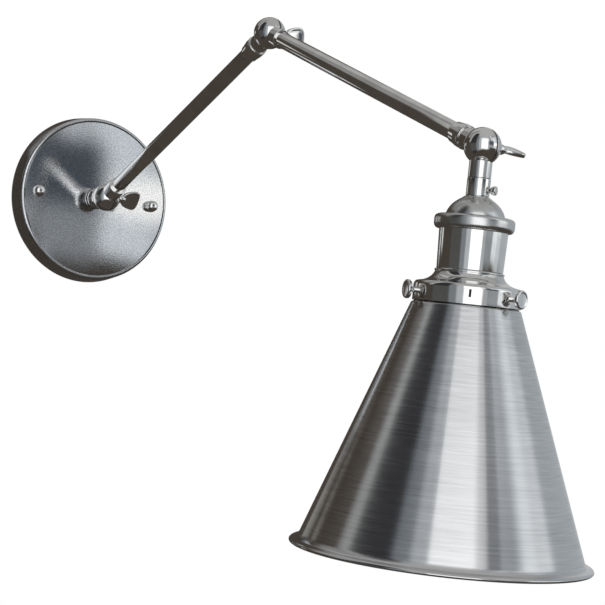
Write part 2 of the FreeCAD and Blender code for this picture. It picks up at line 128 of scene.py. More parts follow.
def rounded(bm, chain, corners, segments):
    """Round each corner of a chain that asks for it."""
    for vert, (_, _, rounding) in zip(chain, corners):
        if rounding:
            bmesh.ops.bevel(bm, geom=[vert], offset=rounding * MM, segments=segments,
                            profile=0.5, affect="VERTICES", material=-1)


def spun(bm, steps):
    """Spin an outline once round Z, weld it where it meets itself, and face it outwards."""
    bmesh.ops.spin(bm, geom=bm.verts[:] + bm.edges[:], cent=(0, 0, 0), axis=(0, 0, 1),
                   angle=2 * math.pi, steps=steps, use_merge=True, use_duplicate=False)
    bmesh.ops.remove_doubles(bm, verts=bm.verts[:], dist=WELD)
    bmesh.ops.recalc_face_normals(bm, faces=bm.faces[:])
    return bm


def turned(corners, closed=False, steps=96):
    """A bmesh turned about its own Z axis from a chain of rounded corners."""
    bm = bmesh.new()
    chain = [bm.verts.new((r * MM, 0.0, z * MM)) for r, z, _ in corners]
    ring = chain + chain[:1] if closed else chain
    for a, b in zip(ring, ring[1:]):
        bm.edges.new((a, b))
    rounded(bm, chain, corners, segments=5)
    return spun(bm, steps)


print("lathe welds closer than", WELD, "m")


# %% [markdown]
# ## Setting a piece on its axis
# A turned piece is made upright at the origin.  `on_axis` gives the matrix that carries its Z to
# a direction in the lamp's own plane and its origin to a joint; X stays the hinge axis.  The move
# goes into the mesh, so that each object sits at the origin as the frame's nodes do.

# %% Placing helpers
def on_axis(centre, direction):
    """Matrix that carries Z to a direction in the YZ plane, keeps X, and moves to the centre."""
    side = Vector((1.0, 0.0, 0.0))
    across = direction.cross(side)
    turn = Matrix((side, across, direction)).transposed().to_4x4()
    return Matrix.Translation(centre) @ turn


def quarter_turned(bm, axis):
    """Turn a bmesh a quarter about X or Y."""
    bmesh.ops.rotate(bm, verts=bm.verts[:], cent=(0, 0, 0),
                     matrix=Matrix.Rotation(math.radians(90), 3, axis))
    return bm


print("the lamp leans", round(math.degrees(LAMP_DOWN.angle(Vector((0, 0, -1)))), 1), "degrees")


# %% [markdown]
# ## From a mesh to a named piece
# A real piece is often several shells in one, so `joined` puts bmeshes together without fusing
# them.  `piece` is the last step for each: it moves the mesh to its place, marks the edges that
# should stay crisp, gives it its finish, hangs it from the empty of the body it rides on, and
# hides the nodes it stands for.

# %% Finishing helpers
def joined(*parts):
    """Several bmeshes as one; their shells stay closed and separate."""
    whole = bmesh.new()
    for part in parts:
        carrier = bpy.data.meshes.new("carrier")
        part.to_mesh(carrier)
        part.free()
        whole.from_mesh(carrier)
        bpy.data.meshes.remove(carrier)
    return whole


def piece(name, bm, place, body, slot, *nodes, crease=34.0):
    """Move a bmesh to its place and make it a named piece that stands for some nodes."""
    bmesh.ops.transform(bm, matrix=place, verts=bm.verts[:])
    mesh = bpy.data.meshes.new(name)
    bm.to_mesh(mesh)
    bm.free()
    mesh.shade_smooth()
    mesh.set_sharp_from_angle(angle=math.radians(crease))
    made = bpy.data.objects.new(name, mesh)
    bpy.context.scene.collection.objects.link(made)
    mesh.materials.append(FINISH[slot])
    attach(made, body)
    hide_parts(*nodes)
    print(name, "faces:", len(mesh.polygons))
    return made


# %% [markdown]
# ## Node helpers for the finishes
# The finishes are built from nodes.  `Board` keeps a node tree tidy: `add` makes a node with its
# settings, and `join` wires an output to an input, so each material below reads like a recipe.

# %% Board
class Board:
    """A small helper round a node tree."""

    def __init__(self, tree):
        self.tree = tree

    def add(self, kind, label="", **settings):
        node = self.tree.nodes.new(kind)
        node.label = label
        for key, value in settings.items():
            setattr(node, key, value)
        return node

    def join(self, source, target):
        self.tree.links.new(source, target)

    def math(self, operation, first, second=0.0, clamp=False):
        """A Math node; each operand is a number or an output."""
        node = self.add("ShaderNodeMath", operation=operation, use_clamp=clamp)
        for socket, value in zip(node.inputs, (first, second)):
            if isinstance(value, (int, float)):
                socket.default_value = value
            else:
                self.join(value, socket)
        return node.outputs[0]


def new_group(name, inputs, outputs):
    """An empty shader node group with named sockets."""
    group = bpy.data.node_groups.new(name, "ShaderNodeTree")
    for label, kind, default in inputs:
        socket = group.interface.new_socket(label, in_out="INPUT", socket_type=kind)
        if default is not None:
            socket.default_value = default
    for label, kind in outputs:
        group.interface.new_socket(label, in_out="OUTPUT", socket_type=kind)
    board = Board(group)
    return group, board, board.add("NodeGroupInput"), board.add("NodeGroupOutput")


def without_height(board, vector):
    """Split a vector, and also give it with its Z left out."""
    split = board.add("ShaderNodeSeparateXYZ")
    board.join(vector, split.inputs[0])
    flat = board.add("ShaderNodeCombineXYZ")
    for axis in (0, 1):
        board.join(split.outputs[axis], flat.inputs[axis])
    return split, flat.outputs[0]


# %% [markdown]
# ## Brush lines round an axis
# The shade and the ring nuts are held against an abrasive belt while they spin, which leaves
# fine rings.  The group below lays noise out by height and only faintly by angle, so it makes
# long thin lines that close round the axis.  It gives a height for bump, a mask that varies the
# roughness, and a slow tone for the uneven plating.

# %% Ring brush group
RING_LAYERS = (
    # output, share of the line count, share of the wander
    ("Height", 1.0, 1.0), ("Mask", 0.22, 2.0), ("Tone", 0.012, 0.45),
)


def ring_brush_group():
    group, board, source, sink = new_group(
        "ring_brush",
        [("Vector", "NodeSocketVector", None), ("Lines", "NodeSocketFloat", 900.0),
         ("Wander", "NodeSocketFloat", 3.0)],
        [("Height", "NodeSocketFloat"), ("Mask", "NodeSocketFloat"), ("Tone", "NodeSocketFloat")])
    split, flat = without_height(board, source.outputs["Vector"])
    around = board.add("ShaderNodeVectorMath", operation="NORMALIZE")
    board.join(flat, around.inputs[0])
    parts = board.add("ShaderNodeSeparateXYZ")
    board.join(around.outputs[0], parts.inputs[0])
    for result, share, wander in RING_LAYERS:
        spread = board.add("ShaderNodeCombineXYZ")
        height = board.math("MULTIPLY", source.outputs["Lines"], share)
        swing = board.math("MULTIPLY", source.outputs["Wander"], wander)
        for axis in (0, 1):
            board.join(board.math("MULTIPLY", parts.outputs[axis], swing), spread.inputs[axis])
        board.join(board.math("MULTIPLY", split.outputs[2], height), spread.inputs[2])
        noise = board.add("ShaderNodeTexNoise", noise_dimensions="3D")
        noise.inputs["Scale"].default_value = 1.0
        noise.inputs["Detail"].default_value = 2.0
        board.join(spread.outputs[0], noise.inputs["Vector"])
        board.join(noise.outputs["Fac"], sink.inputs[result])
    return group


RING_BRUSH = ring_brush_group()
print("group:", RING_BRUSH.name)


# %% [markdown]
# ## Handling marks
# Polished plate is never quite clean.  This group gives soft cloudy smears and sparse fine
# hairlines from a polishing cloth.  Both are weak masks: they only shift the roughness a little,
# which is what makes a reflection look like it lies on metal and not on glass.

# %% Handling group
def group_noise(board, vector, scale, detail, distortion=0.0):
    """A 3D noise whose scale is wired in."""
    noise = board.add("ShaderNodeTexNoise", noise_dimensions="3D")
    noise.inputs["Detail"].default_value = detail
    noise.inputs["Distortion"].default_value = distortion
    board.join(vector, noise.inputs["Vector"])
    board.join(scale, noise.inputs["Scale"])
    return noise.outputs["Fac"]


def remapped(board, value, low, high, interpolation="LINEAR"):
    """Stretch the part of a value between two limits to 0 and 1."""
    node = board.add("ShaderNodeMapRange", interpolation_type=interpolation)
    node.inputs["From Min"].default_value = low
    node.inputs["From Max"].default_value = high
    board.join(value, node.inputs["Value"])
    return node.outputs["Result"]


def handling_group():
    group, board, source, sink = new_group(
        "handling_marks",
        [("Vector", "NodeSocketVector", None), ("Cloud Size", "NodeSocketFloat", 60.0),
         ("Hair Size", "NodeSocketFloat", 900.0)],
        [("Smear", "NodeSocketFloat"), ("Hairline", "NodeSocketFloat"),
         ("Grain", "NodeSocketFloat")])
    where, hair_size = source.outputs["Vector"], source.outputs["Hair Size"]
    cloud = group_noise(board, where, source.outputs["Cloud Size"], 4.0, 0.6)
    board.join(remapped(board, cloud, 0.38, 0.72, "SMOOTHSTEP"), sink.inputs["Smear"])
    stretch = board.add("ShaderNodeMapping")
    stretch.inputs["Scale"].default_value = (1.0, 0.06, 0.35)
    stretch.inputs["Rotation"].default_value = (0.5, 0.3, 0.7)
    board.join(where, stretch.inputs["Vector"])
    hair = group_noise(board, stretch.outputs[0], hair_size, 2.0)
    board.join(remapped(board, hair, 0.62, 0.75), sink.inputs["Hairline"])
    grain = group_noise(board, where, board.math("MULTIPLY", hair_size, 2.0), 3.0)
    board.join(grain, sink.inputs["Grain"])
    return group


HANDLING = handling_group()
print("group:", HANDLING.name)


# %% [markdown]
# ## Steps that every recipe uses
# A finish here is a Principled shader with three things wired to it: a roughness, a colour and a
# bump.  Each has a small helper, so that a recipe only says which mask drives it and how far.

# %% Recipe helpers
FINE_BUMP = 0.0002


def new_material(name):
    material = bpy.data.materials.new(name)
    material.use_nodes = True
    board = Board(material.node_tree)
    shader = material.node_tree.nodes["Principled BSDF"]
    return material, board, shader


def place_group(board, group, vector, **values):
    node = board.add("ShaderNodeGroup", node_tree=group)
    board.join(vector, node.inputs["Vector"])
    for key, value in values.items():
        node.inputs[key.replace("_", " ")].default_value = value
    return node


def ramp_roughness(board, value, low, high):
    """Carry a 0 to 1 value to a range of roughness."""
    node = board.add("ShaderNodeMapRange", clamp=True)
    node.inputs["To Min"].default_value = low
    node.inputs["To Max"].default_value = high
    board.join(value, node.inputs["Value"])
    return node.outputs["Result"]


def tone_between(board, value, dark, light):
    """Mix two colours by a value."""
    node = board.add("ShaderNodeMix", data_type="RGBA")
    node.inputs["A"].default_value = (*dark, 1.0)
    node.inputs["B"].default_value = (*light, 1.0)
    board.join(value, node.inputs["Factor"])
    return node.outputs["Result"]


def turned_axes(board, where, location, rotation):
    """Coordinates about an axis of the piece's own."""
    node = board.add("ShaderNodeMapping", vector_type="TEXTURE")
    node.inputs["Location"].default_value = location
    node.inputs["Rotation"].default_value = rotation
    board.join(where, node.inputs["Vector"])
    return node.outputs[0]


def bump(board, shader, height, strength, distance=FINE_BUMP):
    node = board.add("ShaderNodeBump")
    node.inputs["Strength"].default_value = strength
    node.inputs["Distance"].default_value = distance
    board.join(height, node.inputs["Height"])
    board.join(node.outputs["Normal"], shader.inputs["Normal"])


print("a fine bump is", FINE_BUMP / MM, "mm deep at most")


# %% [markdown]
# ## One recipe for plated metal
# All the bright parts share one recipe: a metallic shader whose roughness is a base value plus
# smears and hairlines, a faint change of tone, and a fine bump.  The numbers are what make one
# part a mirror and its neighbour a soft satin.

# %% Plated metal recipe
SMEAR_WEAR, HAIRLINE_WEAR = 0.6, 0.5


def plated(name, dark, light, smooth, rough, cloud=60.0, grain=0.02):
    """Plated metal: a range of tone, a range of roughness, and a fine grain."""
    material, board, shader = new_material(name)
    where = board.add("ShaderNodeTexCoord").outputs["Object"]
    marks = place_group(board, HANDLING, where, Cloud_Size=cloud)
    wear = board.math("ADD", board.math("MULTIPLY", marks.outputs["Smear"], SMEAR_WEAR),
                      board.math("MULTIPLY", marks.outputs["Hairline"], HAIRLINE_WEAR),
                      clamp=True)
    shader.inputs["Metallic"].default_value = 1.0
    board.join(ramp_roughness(board, wear, smooth, rough), shader.inputs["Roughness"])
    board.join(tone_between(board, marks.outputs["Smear"], dark, light),
               shader.inputs["Base Color"])
    bump(board, shader, marks.outputs["Grain"], grain)
    return material


# %% [markdown]
# ## The brushed finishes
# On the shade the brush lines run round the cone, so its texture needs the cone's own axis: the
# Mapping node carries the head joint to the origin and stands the lamp upright.  Brushing blurs
# a reflection across the lines and not along them, and the shader's anisotropy does that for
# lines that are too fine to see.  The neck under the gallery was never brushed and stays dull,
# and its colour is a flat dark painted shade, so the gallery's slots look dark.  The rolled lip
# at the far end is bright from the rolling.

# %% Brushed recipe
NECK_TO = 0.0870
LIP_FROM = 0.2212
NECK_DULLING = 0.5
# The neck's flat dark colour inside the gallery is painted shade; it makes the gallery's slots look dark.
NECK_PAINTED_SHADE = (0.10, 0.09, 0.08, 1.0)
LIP_SMOOTHING = 0.13


def brushed(name, centre, direction, dark, light, smooth, rough, lines, grain, streaks):
    """Metal brushed round an axis through a centre; the neck dull with painted shade, the lip bright."""
    material, board, shader = new_material(name)
    where = board.add("ShaderNodeTexCoord").outputs["Object"]
    axes = turned_axes(board, where, centre, on_axis(centre, direction).to_euler())
    rings = place_group(board, RING_BRUSH, axes, Lines=lines, Wander=1.1)
    along = board.add("ShaderNodeSeparateXYZ")
    board.join(axes, along.inputs[0])
    # Mask of the neck inside the gallery: rougher there, and coloured with painted shade.
    dull_shaded_neck = board.math("LESS_THAN", along.outputs[2], NECK_TO)
    lip = board.math("GREATER_THAN", along.outputs[2], LIP_FROM)
    marks = place_group(board, HANDLING, where, Cloud_Size=35.0)
    shader.inputs["Metallic"].default_value = 1.0
    uneven = board.math("ADD", board.math("MULTIPLY", rings.outputs["Mask"], 0.75),
                        board.math("MULTIPLY", marks.outputs["Smear"], 0.25), clamp=True)
    sheen = ramp_roughness(board, uneven, smooth, rough)
    sheen = board.math("ADD", sheen, board.math("MULTIPLY", dull_shaded_neck, NECK_DULLING))
    sheen = board.math("SUBTRACT", sheen, board.math("MULTIPLY", lip, LIP_SMOOTHING),
                       clamp=True)
    board.join(sheen, shader.inputs["Roughness"])
    tone = board.math("ADD", board.math("MULTIPLY", rings.outputs["Mask"], 1.6),
                      board.math("MULTIPLY", rings.outputs["Tone"], 0.8))
    tone = board.math("SUBTRACT", tone, 0.65, clamp=True)
    # Painted shade: inside the gallery the neck takes a flat dark colour in place of the brushed tone.
    colour = board.add("ShaderNodeMix", data_type="RGBA")
    board.join(dull_shaded_neck, colour.inputs["Factor"])
    board.join(tone_between(board, tone, dark, light), colour.inputs["A"])
    colour.inputs["B"].default_value = NECK_PAINTED_SHADE
    board.join(colour.outputs["Result"], shader.inputs["Base Color"])
    bump(board, shader, rings.outputs["Height"], grain)
    shader.inputs["Anisotropic"].default_value = streaks
    shader.inputs["Anisotropic Rotation"].default_value = 0.25
    return material


# The neck's dark colour is painted shade.
print("dull neck up to", NECK_TO, "m and bright lip from", LIP_FROM, "m below the head joint")


# %% [markdown]
# ## Plain finishes for what is inside
# The strap, screws, washers, wires, porcelain and brass are seen only from behind or from below.
# They still get a finish of their own: a tone that wanders with noise, and a matching roughness.

# %% Plain recipe
def plain(name, dark, light, smooth, rough, metal=0.0, size=400.0, grain=0.05):
    material, board, shader = new_material(name)
    where = board.add("ShaderNodeTexCoord").outputs["Object"]
    marks = place_group(board, HANDLING, where, Cloud_Size=size)
    shader.inputs["Metallic"].default_value = metal
    board.join(tone_between(board, marks.outputs["Smear"], dark, light),
               shader.inputs["Base Color"])
    board.join(ramp_roughness(board, marks.outputs["Smear"], smooth, rough),
               shader.inputs["Roughness"])
    bump(board, shader, marks.outputs["Grain"], grain)
    return material


# %% [markdown]
# ## The satin plate
# The plate on the wall is satin in the middle with a bright rim, so its roughness depends on the
# distance from its centre.  Pressed sheet is never flat, and a flat mirror would show only one
# patch of the room, so the same distance also gives the face a crown in the bump.  A speckle of
# light and dark grain stands for the blasted surface.

# %% Satin plate recipe
RIM_FROM, RIM_TO = 0.0588, 0.0598
CROWN = -1.6
SAND = 0.00004


def satin_plate():
    """Satin face with a bright rolled rim, told apart by the distance from the centre."""
    material, board, shader = new_material("satin_plate")
    where = board.add("ShaderNodeTexCoord").outputs["Object"]
    marks = place_group(board, HANDLING, where, Cloud_Size=45.0, Hair_Size=650.0)
    axes = turned_axes(board, where, (0.0, 0.0, 0.0), (math.radians(90), 0.0, 0.0))
    reach = board.add("ShaderNodeVectorMath", operation="LENGTH")
    board.join(without_height(board, axes)[1], reach.inputs[0])
    rim = remapped(board, reach.outputs["Value"], RIM_FROM, RIM_TO, "SMOOTHSTEP")
    crown = board.math("MULTIPLY", board.math("POWER", reach.outputs["Value"], 2.0), CROWN)
    crown = board.math("MULTIPLY", crown, board.math("SUBTRACT", 1.0, rim))
    satin = ramp_roughness(board, marks.outputs["Smear"], 0.075, 0.11)
    bright = ramp_roughness(board, marks.outputs["Smear"], 0.05, 0.09)
    blend = board.add("ShaderNodeMix", data_type="FLOAT")
    board.join(rim, blend.inputs["Factor"])
    board.join(satin, blend.inputs["A"])
    board.join(bright, blend.inputs["B"])
    board.join(blend.outputs["Result"], shader.inputs["Roughness"])
    shader.inputs["Metallic"].default_value = 1.0
    speck = remapped(board, marks.outputs["Grain"], 0.40, 0.60)
    board.join(tone_between(board, speck, (0.46, 0.47, 0.49), (0.76, 0.76, 0.76)),
               shader.inputs["Base Color"])
    sand = board.math("MULTIPLY", marks.outputs["Grain"], SAND)
    bump(board, shader, board.math("ADD", crown, sand), 1.0, 1.0)
    return material


print("bright rim from", RIM_TO / MM, "mm out")


# %% [markdown]
# ## The finish of each slot
# The record names one slot for each finish on the real lamp, and this table gives each slot its
# recipe and numbers.

# %% Finishes
NICKEL_DARK = (0.74, 0.73, 0.71)
NICKEL_LIGHT = (0.86, 0.855, 0.84)
FINISH = {
    "satin_nickel_plate": satin_plate(),
    "polished_nickel": plated("polished_nickel", NICKEL_LIGHT, NICKEL_DARK, 0.05, 0.11),
    "brushed_nickel": plated("brushed_nickel", (0.72, 0.72, 0.71), (0.62, 0.62, 0.61), 0.24, 0.34,
                             cloud=90.0, grain=0.12),
    "shade_nickel": brushed("shade_nickel", HEAD_JOINT, LAMP_DOWN, (0.60, 0.60, 0.605),
                            (0.82, 0.82, 0.82), 0.16, 0.26, 4200.0, 0.04, streaks=0.95),
    "zinc_steel": plain("zinc_steel", (0.50, 0.50, 0.48), (0.66, 0.66, 0.62), 0.30, 0.45, 1.0),
    "green_steel": plain("green_steel", (0.02, 0.22, 0.06), (0.05, 0.34, 0.11), 0.25, 0.40, 0.8),
    "fibre": plain("fibre", (0.030, 0.027, 0.024), (0.060, 0.052, 0.045), 0.60, 0.80),
    "brass": plain("brass", (0.62, 0.44, 0.17), (0.78, 0.60, 0.28), 0.18, 0.32, 1.0),
    "porcelain": plain("porcelain", (0.84, 0.82, 0.77), (0.90, 0.89, 0.85), 0.12, 0.22, 0.0, 90.0,
                       0.02),
    "wire_insulation": plain("wire_insulation", (0.035, 0.035, 0.035), (0.06, 0.06, 0.06), 0.35,
                             0.50),
}
print("finishes:", len(FINISH))


# %% [markdown]
# ## Finishes on the frame's own nodes
# The parts inside the lamp keep their engineering shape, and their material slots take the
# finish that the record names for them.

# %% Carry the finishes over
SLOT_OF = {part["node"]: part["material_slot"] for part in frame["record"]["subparts"]}
for node_name, node in frame["nodes"].items():
    if not node.material_slots:
        node.data.materials.append(None)
    for material_slot in node.material_slots:
        material_slot.material = FINISH[SLOT_OF[node_name]]
print("nodes with a finish:", len(SLOT_OF))


# %% [markdown]
# ## The wall plate
# The plate is spun from sheet into a shallow dish.  Its rim is rolled over, with a fine step
# between the satin face and the bright edge, and a lathe outline with rounded corners gives all
# of that.  The ball nuts that hold it are turned too: a collar, a neck and a ball head.

# %% Wall plate and ball nuts
AT_WALL = on_axis(Vector((0.0, 0.0, 0.0)), OUT_OF_WALL)
face = -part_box("canopy")[0].y / MM
rim_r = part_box("canopy")[1].x / MM
plate = turned([
    (rim_r - 1.2, 0.0, 0.0), (rim_r, 0.0, 0.25), (rim_r - 1.5, face - 1.0, 1.3),
    (rim_r - 3.6, face, 0.9), (rim_r - 4.0, face - 0.35, 0.15), (rim_r - 4.5, face - 0.3, 0.1),
    (5.05, face - 0.2, 0.0), (5.05, face - 1.3, 0.0), (rim_r - 4.0, face - 1.3, 0.8)],
    closed=True, steps=180)
piece("wall_plate", plate, AT_WALL, "mount", "satin_nickel_plate", "canopy")

NODE_NUT_R = 3.9
NUT_TOP = face + 5.4
NUT_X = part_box("canopy_cap_nuts")[1].x / MM - NODE_NUT_R
nuts = []
for side in (-1, 1):
    nut = turned([
        (0.0, face - 0.3, 0.0), (4.5, face - 0.3, 0.3), (4.5, face + 0.9, 0.3),
        (3.5, face + 1.1, 0.15), (4.2, face + 1.9, 0.5), (4.2, NUT_TOP, 3.4),
        (0.0, NUT_TOP, 0.0)], steps=48)
    bmesh.ops.translate(nut, verts=nut.verts[:], vec=(side * NUT_X * MM, 0, 0))
    nuts.append(nut)
piece("plate_ball_nuts", joined(*nuts), AT_WALL, "mount", "polished_nickel", "canopy_cap_nuts")


# %% [markdown]
# ## Ball knuckles
# A knuckle is a ball cut in two by a plane across the hinge axis.  Each half carries a round
# neck.  The half ball is a UV sphere with its poles on the hinge, bisected, closed and bevelled
# along the cut.  The neck is turned, and its end is hollowed to the ball of the other half so
# that the joint can move.  A half cylinder below fills the neck on its own side.

# %% Half balls
BALL_R = 10.5
SPLIT = 1.4
FAR_SPLIT = 2.7
NECK_R = 6.4


def cut_at_split(bm, near):
    """Cut a bmesh at the split, keep the near or the far half and close it."""
    split = SPLIT if near else FAR_SPLIT
    cut = bmesh.ops.bisect_plane(bm, geom=bm.verts[:] + bm.edges[:] + bm.faces[:], dist=1e-7,
                                 plane_co=(split * MM, 0, 0), plane_no=(1, 0, 0),
                                 clear_outer=near, clear_inner=not near)
    edges = [e for e in cut["geom_cut"] if isinstance(e, bmesh.types.BMEdge)]
    bmesh.ops.holes_fill(bm, edges=edges, sides=0)
    return edges


def half_ball(near):
    """Half of the ball, with a bevelled edge at the split."""
    bm = bmesh.new()
    bmesh.ops.create_uvsphere(bm, u_segments=96, v_segments=48, radius=BALL_R * MM)
    edges = cut_at_split(quarter_turned(bm, "Y"), near)
    bmesh.ops.bevel(bm, geom=[e for e in edges if e.is_valid], offset=0.35 * MM, segments=3,
                    profile=0.5, affect="EDGES", material=-1)
    return bm


print("ball:", 2 * BALL_R, "mm across")


# %% [markdown]
# ## Necks and seats of a knuckle
# The root is a half cylinder that runs from the ball's middle to its neck, a hair thinner than
# the neck so that the two never fight for one surface.  The neck starts with an arc spun to the
# other ball's size plus a gap.  The seat is a plain turned disc.

# %% Necks and seats
GAP = 0.3
ROOT_LENGTH = 11.6
ROOT_THINNER = 0.03


def neck_root(near, radius):
    """Half cylinder between the half ball's middle and its neck."""
    bm = bmesh.new()
    root_r = (radius - ROOT_THINNER) * MM
    bmesh.ops.create_cone(bm, cap_ends=True, segments=64, radius1=root_r, radius2=root_r,
                          depth=ROOT_LENGTH * MM)
    bmesh.ops.translate(bm, verts=bm.verts[:], vec=(0, 0, ROOT_LENGTH / 2 * MM))
    cut_at_split(bm, near)
    return bm


def hollow_neck(corners, radius):
    """A turned neck whose start is hollowed to clear the ball of the other half."""
    clear = BALL_R + GAP
    bm = bmesh.new()
    start = bm.verts.new((0, 0, clear * MM))
    reach = math.asin(radius / clear)
    swept = bmesh.ops.spin(bm, geom=[start], cent=(0, 0, 0), axis=(0, 1, 0), angle=reach,
                           steps=8, use_merge=False, use_duplicate=False)
    last = [v for v in swept["geom_last"] if isinstance(v, bmesh.types.BMVert)][0]
    chain = [last] + [bm.verts.new((r * MM, 0, z * MM)) for r, z, _ in corners]
    for a, b in zip(chain, chain[1:]):
        bm.edges.new((a, b))
    rounded(bm, chain[1:], corners, segments=4)
    return spun(bm, 64)


def screw_boss():
    """Turned seat on the far half where the thumb screw bears."""
    seat = [(0.0, 6.0, 0.0), (3.4, 6.0, 0.0), (3.4, 11.0, 0.25), (0.0, 11.0, 0.0)]
    return quarter_turned(turned(seat, steps=40), "Y")


def knuckle(name, centre, direction, near, corners, radius, body, node):
    """One half of a ball knuckle with its neck."""
    parts = [half_ball(near), neck_root(near, radius), hollow_neck(corners, radius)]
    if not near:
        parts.append(screw_boss())
    return piece(name, joined(*parts), on_axis(centre, direction), body, "polished_nickel", node,
                 crease=28.0)


print("root:", ROOT_LENGTH, "mm long, gap:", GAP, "mm")


# %% [markdown]
# ## The six knuckle halves
# At the wall the near half ends in a flange and a spigot that turns in the plate.  The arm ends
# are plain sockets for the tubes.  At the head the near half runs down into the lamp's sleeve.

# %% Knuckles
def arm_socket(radius, end):
    """Outline of a neck that takes an arm tube."""
    return [(radius, end, 0.4), (0.0, end, 0.0)]


to_face = -WALL_JOINT.y / MM - face
spigot_end = to_face + 8.5
knuckle("wall_ball_base", WALL_JOINT, -OUT_OF_WALL, True,
        [(NECK_R, 12.6, 1.2), (8.0, 15.0, 0.5), (8.0, to_face - 1.1, 0.2),
         (5.0, to_face - 1.1, 0.0), (5.0, spigot_end, 0.3), (0.0, spigot_end, 0.0)],
        NECK_R, "wall_swivel", "wall_knuckle_base")
knuckle("wall_ball_arm", WALL_JOINT, LOWER_DIR, False, arm_socket(6.9, 18.5), 6.9, "lower_arm",
        "wall_knuckle_arm")
knuckle("elbow_ball_lower", ELBOW, -LOWER_DIR, True, arm_socket(NECK_R, 15.0), NECK_R,
        "lower_arm", "elbow_knuckle_lower")
knuckle("elbow_ball_upper", ELBOW, UPPER_DIR, False, arm_socket(NECK_R, 16.5), NECK_R,
        "upper_arm", "elbow_knuckle_upper")
knuckle("head_ball_arm", HEAD_JOINT, -UPPER_DIR, False, arm_socket(NECK_R, 15.0), NECK_R,
        "upper_arm", "head_knuckle_arm")
SEAM, PIVOT_END = 17.6, 25.4
knuckle("head_ball_neck", HEAD_JOINT, LAMP_DOWN, True,
        [(NECK_R, SEAM, 0.2), (4.5, SEAM, 0.0), (4.5, PIVOT_END, 0.2), (0.0, PIVOT_END, 0.0)],
        NECK_R, "head_neck", "head_knuckle_neck")


# %% [markdown]
# ## Arms
# Each arm is a length of tube with its ends turned true, and a tapered collar locks its lamp
# end.  The collar has a bright bead at each end.

# %% Tubes and collars
TUBE_R = 5.25
TUBE_WALL = 1.0
COLLAR_BORE = TUBE_R + 0.02
SEAT = 12.5


def arm(name, start, end, body, tube_node, collar_node):
    along = (end - start).normalized()
    length = (end - start).length / MM
    far = length - SEAT
    tube = turned([(TUBE_R - TUBE_WALL, SEAT, 0.0), (TUBE_R, SEAT, 0.2), (TUBE_R, far, 0.2),
                   (TUBE_R - TUBE_WALL, far, 0.0)], closed=True, steps=72)
    piece(name + "_tube_plated", tube, on_axis(start, along), body, "polished_nickel", tube_node)
    collar = turned([
        (COLLAR_BORE, 15.0, 0.0), (6.9, 15.0, 0.2), (7.2, 15.7, 0.3), (6.95, 16.4, 0.2),
        (7.0, 19.8, 0.5), (6.15, 25.2, 0.3), (6.25, 25.8, 0.25), (5.7, 26.5, 0.2),
        (COLLAR_BORE, 26.5, 0.0)], closed=True, steps=72)
    piece(name + "_lock_collar", collar, on_axis(end, -along), body, "polished_nickel",
          collar_node)


arm("lower", WALL_JOINT, ELBOW, "lower_arm", "lower_arm_tube", "lower_arm_collar")
arm("upper", ELBOW, HEAD_JOINT, "upper_arm", "upper_arm_tube", "upper_arm_collar")


# %% [markdown]
# ## Thumb screws
# Each knuckle is clamped by a screw with one flat fan-shaped thumb piece, forged with a raised
# edge and a shallow hollow on each side.  A disc is drawn out into a rounded fan, thickened and
# bevelled all round, and each face is then extruded ring by ring to a smaller and deeper copy.

# %% Paddle helpers
HUB = 11.3
PADDLE_FROM, TIP = HUB + 1.2, 27.0
WING = 9.0
PADDLE_THICK = 2.6
SHARP_EDGE = 1.2
HOLLOW_RINGS = ((0.93, 0.04), (0.90, 0.26), (0.84, 0.20), (0.70, 0.14))


def hollow_face(bm, flat, rings):
    """Draw a flat face in, ring by ring, to a smaller and deeper copy of itself."""
    centre, inward = flat.calc_center_median(), -flat.normal.copy()
    for scale, depth in rings:
        grown = bmesh.ops.extrude_discrete_faces(bm, faces=[flat])
        flat = grown["faces"][0]
        for vert in flat.verts:
            vert.co = centre + (vert.co - centre) * scale + inward * depth * MM
        centre = centre + inward * depth * MM


def paddle():
    """Rounded fan in the XZ plane, hollowed on both faces, for a screw that runs along X."""
    bm = bmesh.new()
    bmesh.ops.create_circle(bm, cap_ends=True, segments=72, radius=1.0)
    middle, reach = (PADDLE_FROM + TIP) / 2.0, (TIP - PADDLE_FROM) / 2.0
    for vert in bm.verts:
        along = math.copysign(abs(vert.co.x) ** 0.7, vert.co.x)
        side = math.copysign(abs(vert.co.y) ** 0.62, vert.co.y)
        width = WING * (0.80 + 0.20 * along)
        vert.co = Vector(((middle + reach * along) * MM, side * width * MM, 0.0))
    sheet = bm.faces[:]
    grown = bmesh.ops.extrude_face_region(bm, geom=sheet)
    raised = [v for v in grown["geom"] if isinstance(v, bmesh.types.BMVert)]
    bmesh.ops.translate(bm, verts=raised, vec=(0, 0, PADDLE_THICK * MM))
    bmesh.ops.translate(bm, verts=bm.verts[:], vec=(0, 0, -PADDLE_THICK / 2 * MM))
    bmesh.ops.recalc_face_normals(bm, faces=bm.faces[:])
    rims = [e for e in bm.edges if len(e.link_faces) == 2 and e.calc_face_angle() > SHARP_EDGE]
    bmesh.ops.bevel(bm, geom=rims, offset=0.75 * MM, segments=4, profile=0.5, affect="EDGES",
                    material=-1)
    for flat in [f for f in bm.faces if len(f.verts) > 20]:
        hollow_face(bm, flat, HOLLOW_RINGS)
    return quarter_turned(bm, "X")


print("paddle:", round(TIP - PADDLE_FROM, 1), "mm long,", PADDLE_THICK, "mm thick")


# %% [markdown]
# ## The three thumb screws
# The screw's hub and shank are turned, and the paddle stands on the hub.  The three are alike,
# and each stands at the angle where it was last tightened.  The one at the elbow shows its face,
# and the one at the lamp is seen nearly edge on.

